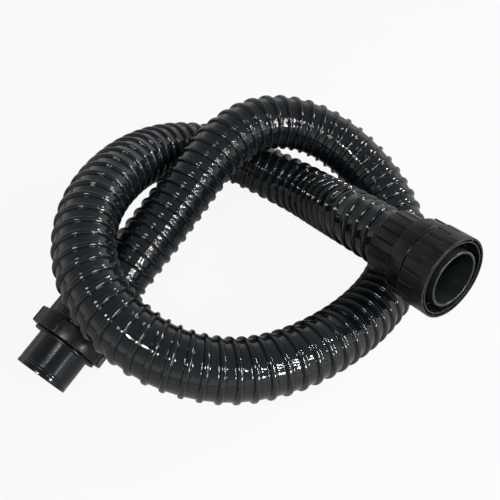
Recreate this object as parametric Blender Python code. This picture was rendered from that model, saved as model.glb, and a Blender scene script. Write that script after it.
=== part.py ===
"""Suction hose for a pool or spa vacuum: a spiral-ribbed hose laid in an open overhand knot, with
a plain spigot on one end and a sleeved coupling on the other.  Metres, +Z up, origin on the floor."""

import math

import bmesh
import bpy
import numpy as np
from mathutils import Matrix, Vector

MM = 0.001

# ---------------------------------------------------------------- sizes, in millimetres
# Hose
HOSE_D = 54.0  # over the ribs
RIB_HEIGHT = 2.1
HOSE_WALL = 2.9  # in the grooves between the ribs
HOSE_ROOT_D = HOSE_D - 2 * RIB_HEIGHT
HOSE_BORE_D = HOSE_ROOT_D - 2 * HOSE_WALL
RIB_PITCH = 12.5
HOSE_RESOLUTION = 2  # gives the tube eight sides
HOSE_SIDES = 4 + 2 * HOSE_RESOLUTION
HOSE_STRAIGHT = 56.0  # straight run at each end, from the cut end
BORE_OVERRUN = 5.0  # how far the bore's cutter passes each cut end

# Clearances
GAP = 0.3  # between pieces that touch or run on each other
SEAL_SIDE_GAP = 0.6  # round a ring that is free to spread
TAIL_GAP = 0.43  # round the tail in the hose's many-sided bore

# Tubes that swivel in the two cuffs
SPIGOT_D = 48.3
SPIGOT_WALL = 2.65
SPIGOT_BORE_D = SPIGOT_D - 2 * SPIGOT_WALL
INNER_TUBE_D = 50.6
INNER_TUBE_WALL = 2.4
INNER_TUBE_BORE_D = INNER_TUBE_D - 2 * INNER_TUBE_WALL
SHOULDER_HEIGHT = 2.2  # over the wider of the two tubes
SHOULDER_THICKNESS = 2.8
SHOULDER_D = max(SPIGOT_D, INNER_TUBE_D) + 2 * SHOULDER_HEIGHT

# Cuff: barrel screwed on the hose, web, tail in the bore, neck in the collar
HOSE_INSERT = 20.0  # length of hose inside the barrel
BARREL_WALL = 2.1
BARREL_D = HOSE_D + 2 * GAP + 2 * BARREL_WALL  # on the floor of the grip grooves
PANEL_HEIGHT = 0.8
PANEL_COUNT = 20
PANEL_GROOVE = 2.2
BARREL_EDGE = 0.7
WEB_THICKNESS = 3.5
TAIL_D = HOSE_BORE_D * math.cos(math.pi / HOSE_SIDES) - 2 * TAIL_GAP
TAIL_WALL = 1.6
TAIL_LENGTH = 17.0
TAIL_EDGE = 0.5
NECK_OVER_SHOULDER = 1.1
NECK_D = SHOULDER_D + 2 * NECK_OVER_SHOULDER
NECK_LENGTH = 5.3
NECK_BORE_D = SPIGOT_BORE_D
HOSE_SEAL_THICKNESS = 1.5

# Collar: the lugged ring that clamps the shoulder of the tube
COLLAR_WALL = 5.6  # from its thread to the floor between the lugs
COLLAR_LENGTH = 14.9
LUG_COUNT = 6
LUG_HEIGHT = 1.2
LUG_ANGLE = 30.0
SPIGOT_LUG_TURN = -4.3  # how far round each collar was left, in degrees
COUPLING_LUG_TURN = -15.5
COLLAR_D = NECK_D + 2 * GAP + 2 * COLLAR_WALL + 2 * LUG_HEIGHT  # over the lugs
COLLAR_EDGE = 0.6
SLIP_RING_THICKNESS = 1.0
O_RING_D = 1.5
O_RING_INSET = 3.3  # from the neck's edge to the middle of the ring
O_RING_CENTRE_D = NECK_D - 2 * O_RING_INSET
O_RING_GROOVE_DEPTH = 1.8

# Spigot
SPIGOT_LENGTH = 30.5  # from the front of the flange to the nose
SPIGOT_EDGE = 0.5
FLANGE_HEIGHT = 6.15
FLANGE_D = SPIGOT_D + 2 * FLANGE_HEIGHT
FLANGE_THICKNESS = 3.0
FLANGE_EDGE = 1.1
FLANGE_GAP = 0.4  # from the collar to the flange
SPIGOT_GROOVE_COUNT = 2
SPIGOT_GROOVE_FROM_NOSE = 4.4  # to the middle of the first groove
SPIGOT_GROOVE_SPACING = 2.3
SPIGOT_GROOVE_WIDTH = 1.2
SPIGOT_GROOVE_DEPTH = 0.5

# Coupling
INNER_TUBE_STANDS_OUT = 1.4  # past the sleeve's rim
INNER_TUBE_EDGE = 0.5
RECESS_WIDTH = 6.7  # between the inner tube and the sleeve's inner wall
SLEEVE_INNER_WALL = 1.4
SLEEVE_SLOT = 1.5
SLEEVE_WALL = 1.8
RECESS_D = INNER_TUBE_D + 2 * RECESS_WIDTH
SLOT_INNER_D = RECESS_D + 2 * SLEEVE_INNER_WALL
SLOT_OUTER_D = SLOT_INNER_D + 2 * SLEEVE_SLOT
SLEEVE_D = SLOT_OUTER_D + 2 * SLEEVE_WALL
SLEEVE_LENGTH = 26.1
SLEEVE_GAP = 1.2  # from the collar to the sleeve
SLEEVE_FLOOR = 3.0
SLEEVE_INNER_SET_BACK = 0.5
SLEEVE_SLOT_DEPTH = 9.0
SLEEVE_STEP = 1.4
SLEEVE_STEP_DEPTH = 14.0
SLEEVE_WEB_COUNT = 8
SLEEVE_WEB_ANGLE = 4.0
SLEEVE_WEB_SET_BACK = 0.9
SLEEVE_EDGE = 0.6
SLEEVE_RIM_EDGE = 0.4
SLEEVE_TURN = 6.4  # how far round the sleeve was left, in degrees
FLUTE_COUNT = 20
FLUTE_WIDTH = 2.0
FLUTE_DEPTH = 0.6
FLUTE_START = 1.2  # from the sleeve's back edge
FLUTE_LENGTH = 17.0
FLUTE_RUN_OUT = 5.0
SNAP_RING_THICKNESS = 1.4
SNAP_RING_HEIGHT = 2.9  # over the inner tube
SNAP_GROOVE_DEPTH = 0.9
SNAP_RING_OPENING = 24.0  # degrees left open between its ends
GASKET_THICKNESS = 2.0

# Route of the hose, from the coupling to the spigot: a loose overhand knot on the floor
FOOTPRINT_MIDDLE = (1.7, -0.6, -0.3)  # taken off every place below, to centre the two fittings
COUPLING_END = (61.7, 135.2, 91.2)  # cut end of the hose inside the coupling's cuff
COUPLING_AZIMUTH = 0.0
COUPLING_ELEVATION = 14.0
SPIGOT_END = (-79.5, -113.6, 39.2)  # cut end of the hose inside the spigot's cuff
SPIGOT_AZIMUTH = -73.4
SPIGOT_ELEVATION = -14.1
ROUTE = [
    (-61, 148, 42),
    (-95, 149, 31),
    (-123, 143, 28),
    (-174, 113, 40),
    (-192, 71, 59),
    (-182, 18, 83),
    (-161, -20, 99),
    (-130, -61, 108),
    (-86, -92, 105),
    (-17, -97, 92),
    (22, -78, 80),
    (52, -41, 66),
    (69, 22, 53),
    (69, 52, 46),
    (60, 105, 32),
    (51, 134, 28),
    (23, 178, 31),
    (-44, 206, 47),
    (-104, 195, 68),
    (-132, 170, 81),
    (-146, 136, 89),
    (-146, 104, 90),
    (-130, 43, 78),
    (-112, -10, 64),
]

ROUND_SIDES = 40


# ---------------------------------------------------------------- scene and materials
for old in list(bpy.data.objects):
    bpy.data.objects.remove(old, do_unlink=True)


def material(name, colour, roughness, metallic=0.0):
    made = bpy.data.materials.new(name)
    made.use_nodes = True
    shader = made.node_tree.nodes["Principled BSDF"]
    shader.inputs["Base Color"].default_value = (*colour, 1.0)
    shader.inputs["Roughness"].default_value = roughness
    shader.inputs["Metallic"].default_value = metallic
    made.diffuse_color = (*colour, 1.0)
    return made


def add_object(name, mesh, look, parent=None):
    mesh.materials.append(look)
    made = bpy.data.objects.new(name, mesh)
    bpy.context.scene.collection.objects.link(made)
    made.parent = parent
    return made


def shade(mesh, angle=32.0):
    mesh.shade_smooth()
    mesh.set_sharp_from_angle(angle=math.radians(angle))


# ---------------------------------------------------------------- rings
def even_angles(count, phase=0.0):
    return [phase + 2 * math.pi * k / count for k in range(count)]


def ring_at(radius, height, angles):
    """A ring of points; radius and height are numbers or one value for each angle."""
    radii = radius if isinstance(radius, list) else [radius] * len(angles)
    heights = height if isinstance(height, list) else [height] * len(angles)
    return [
        Vector((r * math.cos(t), r * math.sin(t), h)) * MM
        for r, h, t in zip(radii, heights, angles)
    ]


def solid_of_rings(name, rings):
    """Bridges each ring to the next and the last to the first, which closes the body."""
    shape = bmesh.new()
    rows = [[shape.verts.new(point) for point in ring] for ring in rings]
    for row, after in zip(rows, rows[1:] + rows[:1]):
        count = len(row)
        for k in range(count):
            n = (k + 1) % count
            shape.faces.new((row[k], row[n], after[n], after[k]))
    bmesh.ops.recalc_face_normals(shape, faces=shape.faces)
    mesh = bpy.data.meshes.new(name)
    shape.to_mesh(mesh)
    shape.free()
    shade(mesh)
    return mesh


def turned(name, profile, sides=ROUND_SIDES):
    """A closed profile of (radius, height) points, spun about the fitting's axis."""
    shape = bmesh.new()
    points = [shape.verts.new(Vector((r, 0, h)) * MM) for r, h in profile]
    edges = [shape.edges.new(pair) for pair in zip(points, points[1:] + points[:1])]
    bmesh.ops.spin(
        shape,
        geom=points + edges,
        cent=(0, 0, 0),
        axis=(0, 0, 1),
        angle=2 * math.pi,
        steps=sides,
        use_merge=True,
        use_duplicate=False,
    )
    bmesh.ops.remove_doubles(shape, verts=shape.verts, dist=1e-7)
    bmesh.ops.recalc_face_normals(shape, faces=shape.faces)
    mesh = bpy.data.meshes.new(name)
    shape.to_mesh(mesh)
    shape.free()
    shade(mesh)
    return mesh


def flat_ring(name, inner_d, outer_d, start, thickness, sides=32):
    inner = inner_d / 2
    outer = outer_d / 2
    end = start + thickness
    return turned(
        name,
        [
            (inner, start),
            (outer, start),
            (outer, end),
            (inner, end),
        ],
        sides,
    )


def bore_for(diameter, sides=ROUND_SIDES):
    """Diameter over the corners of a many-sided hole whose flats clear a shaft by the gap."""
    return (diameter + 2 * GAP) / math.cos(math.pi / sides)


# ---------------------------------------------------------------- places along a fitting
# Height 0 is the cut end of the hose; heights grow outwards along the fitting's axis.
SEAL_START = GAP
WEB_START = SEAL_START + HOSE_SEAL_THICKNESS + GAP
BARREL_START = -HOSE_INSERT
BARREL_FRONT = WEB_START + WEB_THICKNESS
NECK_FRONT = BARREL_FRONT + NECK_LENGTH
SHOULDER_START = NECK_FRONT + GAP
SHOULDER_FRONT = SHOULDER_START + SHOULDER_THICKNESS
SLIP_RING_START = SHOULDER_FRONT + GAP
LIP_START = SLIP_RING_START + SLIP_RING_THICKNESS + GAP
COLLAR_START = BARREL_FRONT + GAP
COLLAR_FRONT = COLLAR_START + COLLAR_LENGTH


# ---------------------------------------------------------------- the kit at both ends
def cuff_mesh(name):
    """Barrel with grip grooves, web, tail for the hose's bore and neck for the collar."""
    barrel = BARREL_D / 2
    panel = barrel + PANEL_HEIGHT
    bore = bore_for(HOSE_D, 3 * PANEL_COUNT) / 2
    neck = NECK_D / 2
    tail = TAIL_D / 2
    tail_bore = tail - TAIL_WALL
    groove_in = O_RING_CENTRE_D / 2 - O_RING_D / 2 - GAP
    groove_out = O_RING_CENTRE_D / 2 + O_RING_D / 2 + GAP
    groove_floor = NECK_FRONT - O_RING_GROOVE_DEPTH

    # Three points to a panel: the two sides of its flat, then the bottom of the groove after it.
    period = 2 * math.pi / PANEL_COUNT
    groove = PANEL_GROOVE / barrel
    angles = []
    outline = []
    for k in range(PANEL_COUNT):
        middle = k * period
        half = (period - groove) / 2
        angles += [middle - half, middle + half, middle + period / 2]
        outline += [panel, panel, barrel]
    eased = [radius - BARREL_EDGE for radius in outline]
    even = even_angles(len(angles), -period / 3)

    def plain(radius, height):
        return ring_at(radius, height, even)

    def grip(radii, height):
        return ring_at(radii, height, angles)

    rings = [
        grip(eased, BARREL_START),
        grip(outline, BARREL_START + BARREL_EDGE),
        grip(outline, BARREL_FRONT - BARREL_EDGE),
        grip(eased, BARREL_FRONT),
        plain(neck, BARREL_FRONT),
        plain(neck, NECK_FRONT),
        plain(groove_out, NECK_FRONT),
        plain(groove_out, groove_floor),
        plain(groove_in, groove_floor),
        plain(groove_in, NECK_FRONT),
        plain(NECK_BORE_D / 2, NECK_FRONT),
        plain(NECK_BORE_D / 2, BARREL_FRONT),
        plain(tail_bore, WEB_START),
        plain(tail_bore, WEB_START - TAIL_LENGTH),
        plain(tail - TAIL_EDGE, WEB_START - TAIL_LENGTH),
        plain(tail, WEB_START - TAIL_LENGTH + 2 * TAIL_EDGE),
        plain(tail, WEB_START),
        plain(bore, WEB_START),
        plain(bore, BARREL_START + BARREL_EDGE),
        plain(bore + BARREL_EDGE / 2, BARREL_START),
    ]
    return solid_of_rings(name, rings)


def collar_mesh(name, tube_d, turn):
    """Union ring with low lugs outside; behind its lip it holds the tube's shoulder."""
    top = COLLAR_D / 2
    base = top - LUG_HEIGHT
    thread = bore_for(NECK_D, 8 * LUG_COUNT) / 2
    lip = bore_for(tube_d, 8 * LUG_COUNT) / 2

    period = 2 * math.pi / LUG_COUNT
    lug = math.radians(LUG_ANGLE)
    side = 0.02
    angles = []
    outline = []
    for k in range(LUG_COUNT):
        start = math.radians(turn) + k * period
        angles += [start + lug * n / 4 for n in range(5)]
        outline += [top] * 5
        rest = period - lug - 2 * side
        angles += [start + lug + side + rest * n / 2 for n in range(3)]
        outline += [base] * 3
    even = even_angles(len(angles), math.radians(turn))
    eased = [radius - COLLAR_EDGE for radius in outline]
    rings = [
        ring_at(eased, COLLAR_START, angles),
        ring_at(outline, COLLAR_START + COLLAR_EDGE, angles),
        ring_at(outline, COLLAR_FRONT - COLLAR_EDGE, angles),
        ring_at(eased, COLLAR_FRONT, angles),
        ring_at(lip, COLLAR_FRONT, even),
        ring_at(lip, LIP_START, even),
        ring_at(thread, LIP_START, even),
        ring_at(thread, COLLAR_START, even),
    ]
    return solid_of_rings(name, rings)


def o_ring_mesh(name):
    radius = O_RING_D / 2
    centre = O_RING_CENTRE_D / 2
    height = NECK_FRONT - O_RING_GROOVE_DEPTH + GAP + radius
    profile = []
    for k in range(6):
        t = 2 * math.pi * (k + 0.5) / 6
        profile.append((centre + radius * math.cos(t), height + radius * math.sin(t)))
    return turned(name, profile, 32)


def kit(side, empty, tube_d, lug_turn, looks):
    """The pieces that both ends share."""
    add_object(side + "_cuff", cuff_mesh(side + "_cuff"), looks["cuff"], empty)
    seal_inner = TAIL_D + 2 * SEAL_SIDE_GAP
    seal_outer = HOSE_D - 2 * SEAL_SIDE_GAP
    seal = flat_ring(side + "_hose_seal", seal_inner, seal_outer, SEAL_START, HOSE_SEAL_THICKNESS)
    add_object(side + "_hose_seal", seal, looks["seal"], empty)
    collar = collar_mesh(side + "_collar", tube_d, lug_turn)
    add_object(side + "_collar", collar, looks["collar"], empty)
    add_object(side + "_o_ring", o_ring_mesh(side + "_o_ring"), looks["seal"], empty)
    slip_inner = tube_d + 2 * SEAL_SIDE_GAP
    slip_outer = NECK_D - SEAL_SIDE_GAP
    name = side + "_slip_ring"
    slip = flat_ring(name, slip_inner, slip_outer, SLIP_RING_START, SLIP_RING_THICKNESS)
    add_object(name, slip, looks["slip"], empty)


# ---------------------------------------------------------------- spigot end
def spigot_tube_mesh():
    bore = SPIGOT_BORE_D / 2
    tube = SPIGOT_D / 2
    nose = COLLAR_FRONT + FLANGE_GAP + FLANGE_THICKNESS + SPIGOT_LENGTH
    grooves = []
    for k in reversed(range(SPIGOT_GROOVE_COUNT)):
        middle = nose - SPIGOT_GROOVE_FROM_NOSE - k * SPIGOT_GROOVE_SPACING
        grooves += [
            (tube, middle - SPIGOT_GROOVE_WIDTH / 2),
            (tube - SPIGOT_GROOVE_DEPTH, middle),
            (tube, middle + SPIGOT_GROOVE_WIDTH / 2),
        ]
    return turned(
        "spigot_tube",
        [
            (bore, SHOULDER_START),
            (SHOULDER_D / 2, SHOULDER_START),
            (SHOULDER_D / 2, SHOULDER_FRONT),
            (tube, SHOULDER_FRONT),
            *grooves,
            (tube, nose - SPIGOT_EDGE),
            (tube - SPIGOT_EDGE, nose),
            (bore + SPIGOT_EDGE, nose),
            (bore, nose - SPIGOT_EDGE),
        ],
    )


def spigot_flange_mesh():
    """Stop ring with rounded edges, pressed on the spigot in front of the collar."""
    start = COLLAR_FRONT + FLANGE_GAP
    end = start + FLANGE_THICKNESS
    inner = bore_for(SPIGOT_D) / 2
    outer = FLANGE_D / 2
    soft = FLANGE_EDGE * (1 - math.sqrt(0.5))
    return turned(
        "spigot_flange",
        [
            (inner, start),
            (outer - FLANGE_EDGE, start),
            (outer - soft, start + soft),
            (outer, start + FLANGE_EDGE),
            (outer, end - FLANGE_EDGE),
            (outer - soft, end - soft),
            (outer - FLANGE_EDGE, end),
            (inner, end),
        ],
    )


# ---------------------------------------------------------------- coupling end
SLEEVE_START = COLLAR_FRONT + SLEEVE_GAP
SLEEVE_RIM = SLEEVE_START + SLEEVE_LENGTH
SNAP_START = SLEEVE_START + SLEEVE_FLOOR + GAP
GASKET_START = SNAP_START + SNAP_RING_THICKNESS + GAP


def coupling_tube_mesh():
    bore = INNER_TUBE_BORE_D / 2
    tube = INNER_TUBE_D / 2
    end = SLEEVE_RIM + INNER_TUBE_STANDS_OUT
    floor = tube - SNAP_GROOVE_DEPTH
    return turned(
        "coupling_tube",
        [
            (bore, SHOULDER_START),
            (SHOULDER_D / 2, SHOULDER_START),
            (SHOULDER_D / 2, SHOULDER_FRONT),
            (tube, SHOULDER_FRONT),
            (tube, SNAP_START - GAP),
            (floor, SNAP_START - GAP),
            (floor, SNAP_START + SNAP_RING_THICKNESS + GAP / 2),
            (tube, SNAP_START + SNAP_RING_THICKNESS + GAP / 2),
            (tube, end - INNER_TUBE_EDGE),
            (tube - INNER_TUBE_EDGE, end),
            (bore + INNER_TUBE_EDGE, end),
            (bore, end - INNER_TUBE_EDGE),
        ],
    )


def coupling_sleeve_mesh():
    """Double-walled sleeve: fluted shell, slot with small webs, inner wall and stepped recess."""
    outer = SLEEVE_D / 2
    shell = SLOT_OUTER_D / 2
    slot_in = SLOT_INNER_D / 2
    recess = RECESS_D / 2
    low_recess = recess - SLEEVE_STEP
    bore = bore_for(INNER_TUBE_D, 4 * FLUTE_COUNT) / 2
    floor = SLEEVE_START + SLEEVE_FLOOR
    inner_rim = SLEEVE_RIM - SLEEVE_INNER_SET_BACK
    step = SLEEVE_RIM - SLEEVE_STEP_DEPTH
    slot_floor = SLEEVE_RIM - SLEEVE_SLOT_DEPTH
    web_top = SLEEVE_RIM - SLEEVE_WEB_SET_BACK

    # Four points to a flute: its side, its bottom, its other side and the middle of the land.
    turn = math.radians(SLEEVE_TURN)
    pitch = 2 * math.pi / FLUTE_COUNT
    half = FLUTE_WIDTH / outer / 2
    flute_angles = []
    fluted = []
    for k in range(FLUTE_COUNT):
        middle = turn + k * pitch
        flute_angles += [middle - half, middle, middle + half, middle + pitch / 2]
        fluted += [outer, outer - FLUTE_DEPTH, outer, outer]
    count = len(flute_angles)
    even = even_angles(count, turn - pitch / 4)
    flute_start = SLEEVE_START + FLUTE_START
    flute_end = flute_start + FLUTE_LENGTH

    # The slot's own angles crowd at the two sides of each web.
    slot_angles = []
    slot_heights = []
    period = 2 * math.pi / SLEEVE_WEB_COUNT
    web = math.radians(SLEEVE_WEB_ANGLE)
    each = count // SLEEVE_WEB_COUNT
    for k in range(SLEEVE_WEB_COUNT):
        start = even[0] + k * period
        slot_angles += [start, start + web]
        slot_heights += [web_top, web_top]
        rest = each - 2
        first = start + web + 0.01
        span = period - web - 0.02
        slot_angles += [first + span * n / (rest - 1) for n in range(rest)]
        slot_heights += [slot_floor] * rest

    rings = [
        ring_at(outer - SLEEVE_EDGE, SLEEVE_START, flute_angles),
        ring_at(outer, SLEEVE_START + SLEEVE_EDGE, flute_angles),
        ring_at(outer, flute_start, flute_angles),
        ring_at(fluted, flute_start + FLUTE_DEPTH, flute_angles),
        ring_at(fluted, flute_end - FLUTE_RUN_OUT, flute_angles),
        ring_at(outer, flute_end, flute_angles),
        ring_at(outer, SLEEVE_RIM - SLEEVE_RIM_EDGE, even),
        ring_at(outer - SLEEVE_RIM_EDGE, SLEEVE_RIM, even),
        ring_at(shell, SLEEVE_RIM, slot_angles),
        ring_at(shell, slot_heights, slot_angles),
        ring_at(slot_in, slot_heights, slot_angles),
        ring_at(slot_in, inner_rim, slot_angles),
        ring_at(recess, inner_rim, even),
        ring_at(recess, step, even),
        ring_at(low_recess, step, even),
        ring_at(low_recess, floor, even),
        ring_at(bore, floor, even),
        ring_at(bore, SLEEVE_START, even),
    ]
    return solid_of_rings("coupling_sleeve", rings)


def snap_ring_mesh():
    """Split ring: a square section carried round the groove, closed at both ends."""
    inner = INNER_TUBE_D / 2 - SNAP_GROOVE_DEPTH + GAP
    outer = INNER_TUBE_D / 2 + SNAP_RING_HEIGHT
    low = SNAP_START
    high = low + SNAP_RING_THICKNESS
    first = math.radians(SNAP_RING_OPENING / 2)
    sweep = 2 * math.pi - 2 * first
    steps = 40
    shape = bmesh.new()
    rows = []
    for k in range(steps + 1):
        t = first + sweep * k / steps
        corners = [(inner, low), (outer, low), (outer, high), (inner, high)]
        places = [Vector((r * math.cos(t), r * math.sin(t), h)) * MM for r, h in corners]
        rows.append([shape.verts.new(place) for place in places])
    for row, after in zip(rows, rows[1:]):
        for k in range(4):
            n = (k + 1) % 4
            shape.faces.new((row[k], row[n], after[n], after[k]))
    shape.faces.new(rows[0])
    shape.faces.new(rows[-1])
    bmesh.ops.recalc_face_normals(shape, faces=shape.faces)
    mesh = bpy.data.meshes.new("coupling_snap_ring")
    shape.to_mesh(mesh)
    shape.free()
    shade(mesh)
    return mesh


# ---------------------------------------------------------------- the hose
def direction(azimuth, elevation):
    a = math.radians(azimuth)
    e = math.radians(elevation)
    return np.array([math.cos(e) * math.cos(a), math.cos(e) * math.sin(a), math.sin(e)])


def smooth_route(points, start_dir, end_dir, samples):
    """A curve of continuous curvature through the points, with both end directions given."""
    steps = np.linalg.norm(np.diff(points, axis=0), axis=1)
    knots = np.concatenate([[0.0], np.cumsum(steps)])
    count = len(points)
    system = np.zeros((count, count))
    right = np.zeros((count, 3))
    system[0, 0] = 1.0
    system[-1, -1] = 1.0
    right[0] = start_dir
    right[-1] = end_dir
    for k in range(1, count - 1):
        before = steps[k - 1]
        after = steps[k]
        system[k, k - 1] = after
        system[k, k] = 2 * (before + after)
        system[k, k + 1] = before
        rise = after * (points[k] - points[k - 1]) / before
        right[k] = 3 * (rise + before * (points[k + 1] - points[k]) / after)
    slopes = np.linalg.solve(system, right)
    where = np.linspace(0.0, knots[-1], samples)
    cell = np.clip(np.searchsorted(knots, where, side="right") - 1, 0, count - 2)
    h = steps[cell][:, None]
    x = (where - knots[cell])[:, None] / h
    return (
        (2 * x**3 - 3 * x**2 + 1) * points[cell]
        + (x**3 - 2 * x**2 + x) * h * slopes[cell]
        + (3 * x**2 - 2 * x**3) * points[cell + 1]
        + (x**3 - x**2) * h * slopes[cell + 1]
    )


def hose_centreline():
    """Dense points along the hose, in millimetres, and their distance from the first."""
    middle = np.array(FOOTPRINT_MIDDLE)
    first = np.array(COUPLING_END) - middle
    last = np.array(SPIGOT_END) - middle
    out_first = direction(COUPLING_AZIMUTH, COUPLING_ELEVATION)
    out_last = direction(SPIGOT_AZIMUTH, SPIGOT_ELEVATION)
    start = first - HOSE_STRAIGHT * out_first
    end = last - HOSE_STRAIGHT * out_last
    through = np.vstack([start, np.array(ROUTE, float) - middle, end])
    bent = smooth_route(through, -out_first, out_last, 2400)
    line = np.vstack([first, bent, last])
    along = np.concatenate([[0.0], np.cumsum(np.linalg.norm(np.diff(line, axis=0), axis=1))])
    return line, along


def at_distance(line, along, distances):
    return np.array([np.interp(distances, along, line[:, k]) for k in range(3)]).T


def tube_mesh(name, points, radii):
    """The mesh of a round-bevelled curve with filled caps through these points."""
    curve = bpy.data.curves.new(name + "_path", "CURVE")
    curve.dimensions = "3D"
    curve.bevel_depth = 1.0 * MM
    curve.bevel_resolution = HOSE_RESOLUTION
    curve.use_fill_caps = True
    spline = curve.splines.new("POLY")
    spline.points.add(len(points) - 1)
    for point, place, radius in zip(spline.points, points, radii):
        point.co = (*(place * MM), 1.0)
        point.radius = radius
    guide = bpy.data.objects.new(name + "_guide", curve)
    bpy.context.scene.collection.objects.link(guide)
    bpy.context.view_layer.update()
    mesh = bpy.data.meshes.new_from_object(guide.evaluated_get(bpy.context.evaluated_depsgraph_get()))
    mesh.name = name
    bpy.data.objects.remove(guide, do_unlink=True)
    shape = bmesh.new()
    shape.from_mesh(mesh)
    bmesh.ops.remove_doubles(shape, verts=shape.verts, dist=1e-6)
    bmesh.ops.recalc_face_normals(shape, faces=shape.faces)
    shape.to_mesh(mesh)
    shape.free()
    shade(mesh, 25.0)
    return mesh


def build_hose(look):
    line, along = hose_centreline()
    length = along[-1]
    ribs = round(length / RIB_PITCH)
    # Each rib has a point on its crest and one in the groove after it.
    places = np.linspace(0.0, length, 2 * ribs + 1)
    radii = [HOSE_D / 2 if k % 2 else HOSE_ROOT_D / 2 for k in range(len(places))]
    hose = add_object("hose", tube_mesh("hose", at_distance(line, along, places), radii), look)

    out_first = direction(COUPLING_AZIMUTH, COUPLING_ELEVATION)
    out_last = direction(SPIGOT_AZIMUTH, SPIGOT_ELEVATION)
    inner = at_distance(line, along, places[1:-1:2])
    before = line[0] + BORE_OVERRUN * out_first
    after = line[-1] + BORE_OVERRUN * out_last
    inner = np.vstack([before, inner, after])
    bore_mesh = tube_mesh("hose_bore", inner, [HOSE_BORE_D / 2] * len(inner))
    bore = add_object("hose_bore", bore_mesh, look)
    bore.hide_render = True
    bore.display_type = "WIRE"
    cut = hose.modifiers.new("bore", "BOOLEAN")
    cut.operation = "DIFFERENCE"
    cut.object = bore
    cut.solver = "EXACT"
    print("hose length", round(float(length), 1), "mm,", ribs, "ribs")
    print("lowest centre", round(float(line[:, 2].min()), 2), "mm")
    return hose


# ---------------------------------------------------------------- assembly
def fitting_empty(name, place, azimuth, elevation):
    """An empty at the hose's cut end, its +Z along the fitting's axis."""
    empty = bpy.data.objects.new(name, None)
    bpy.context.scene.collection.objects.link(empty)
    empty.empty_display_size = 0.02
    axis = Vector(direction(azimuth, elevation))
    sideways = Vector((0, 0, 1)).cross(axis).normalized()
    up = axis.cross(sideways)
    turn = Matrix((up, sideways * -1, axis)).transposed()
    if turn.determinant() < 0:
        turn = Matrix((up, sideways, axis)).transposed()
    stands = (Vector(place) - Vector(FOOTPRINT_MIDDLE)) * MM
    empty.matrix_world = Matrix.Translation(stands) @ turn.to_4x4()
    return empty


def build():
    looks = {
        "hose": material("hose_black_vinyl", (0.011, 0.014, 0.016), 0.16),
        "cuff": material("cuff_black_plastic", (0.020, 0.019, 0.019), 0.38),
        "collar": material("collar_black_plastic", (0.022, 0.020, 0.020), 0.36),
        "tube": material("tube_black_plastic", (0.018, 0.018, 0.018), 0.26),
        "sleeve": material("sleeve_black_plastic", (0.024, 0.022, 0.022), 0.40),
        "seal": material("seal_black_rubber", (0.012, 0.012, 0.012), 0.75),
        "slip": material("slip_ring_pale_plastic", (0.55, 0.54, 0.50), 0.45),
        "steel": material("snap_ring_steel", (0.52, 0.52, 0.53), 0.30, 1.0),
    }
    build_hose(looks["hose"])

    spigot = fitting_empty("spigot_axis", SPIGOT_END, SPIGOT_AZIMUTH, SPIGOT_ELEVATION)
    kit("spigot", spigot, SPIGOT_D, SPIGOT_LUG_TURN, looks)
    add_object("spigot_tube", spigot_tube_mesh(), looks["tube"], spigot)
    add_object("spigot_flange", spigot_flange_mesh(), looks["tube"], spigot)

    coupling = fitting_empty(
        "coupling_axis", COUPLING_END, COUPLING_AZIMUTH, COUPLING_ELEVATION
    )
    kit("coupling", coupling, INNER_TUBE_D, COUPLING_LUG_TURN, looks)
    add_object("coupling_tube", coupling_tube_mesh(), looks["tube"], coupling)
    add_object("coupling_sleeve", coupling_sleeve_mesh(), looks["sleeve"], coupling)
    add_object("coupling_snap_ring", snap_ring_mesh(), looks["steel"], coupling)
    gasket_inner = INNER_TUBE_D + 2 * SEAL_SIDE_GAP
    gasket_outer = RECESS_D - 2 * SLEEVE_STEP - 2 * SEAL_SIDE_GAP
    gasket = flat_ring(
        "coupling_gasket", gasket_inner, gasket_outer, GASKET_START, GASKET_THICKNESS
    )
    add_object("coupling_gasket", gasket, looks["seal"], coupling)


build()
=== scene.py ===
"""Looks of the suction hose: fine spiral hose, moulded fittings, light from small windows."""

import math

import bmesh
import bpy
import numpy as np
from mathutils import Matrix, Vector


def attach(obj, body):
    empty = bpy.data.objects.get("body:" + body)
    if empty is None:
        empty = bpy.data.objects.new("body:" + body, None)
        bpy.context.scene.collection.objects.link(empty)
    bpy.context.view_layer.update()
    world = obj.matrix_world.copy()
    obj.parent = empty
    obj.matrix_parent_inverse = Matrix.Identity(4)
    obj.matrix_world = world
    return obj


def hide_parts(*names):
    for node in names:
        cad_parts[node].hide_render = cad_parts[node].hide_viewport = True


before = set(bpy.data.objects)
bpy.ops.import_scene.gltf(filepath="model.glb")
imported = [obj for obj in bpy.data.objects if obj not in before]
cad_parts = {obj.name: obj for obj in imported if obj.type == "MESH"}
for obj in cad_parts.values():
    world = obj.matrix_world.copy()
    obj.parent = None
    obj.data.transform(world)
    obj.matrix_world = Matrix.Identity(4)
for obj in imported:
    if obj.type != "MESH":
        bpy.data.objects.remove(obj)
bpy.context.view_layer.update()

MM = 0.001

# ---------------------------------------------------------------- sizes shared with the solids, in mm
HOSE_D = 54.0
HOSE_ROOT_D = 49.8
HOSE_BORE_D = 44.0
RIB_PITCH = 12.5
HOSE_STRAIGHT = 56.0
GAP = 0.3
BARREL_START = -20.0
BARREL_FRONT = 5.6
BARREL_D = 58.8  # on the floor of the grip grooves
PANEL_HEIGHT = 0.8
PANEL_COUNT = 20
PANEL_GROOVE = 2.2
WEB_START = 2.1
TAIL_END = -14.9
TAIL_D = 39.8
TAIL_WALL = 1.6
NECK_FRONT = 10.9
NECK_D = 57.2
O_RING_GROOVE_RADII = (24.25, 26.35)
O_RING_GROOVE_DEPTH = 1.8
SHOULDER_START = 11.2
SHOULDER_FRONT = 14.0
SHOULDER_D = 55.0
LIP_START = 15.6
COLLAR_START = 5.9
COLLAR_FRONT = 20.8
COLLAR_D = 71.4
LUG_HEIGHT = 1.2
LUG_COUNT = 6
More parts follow.
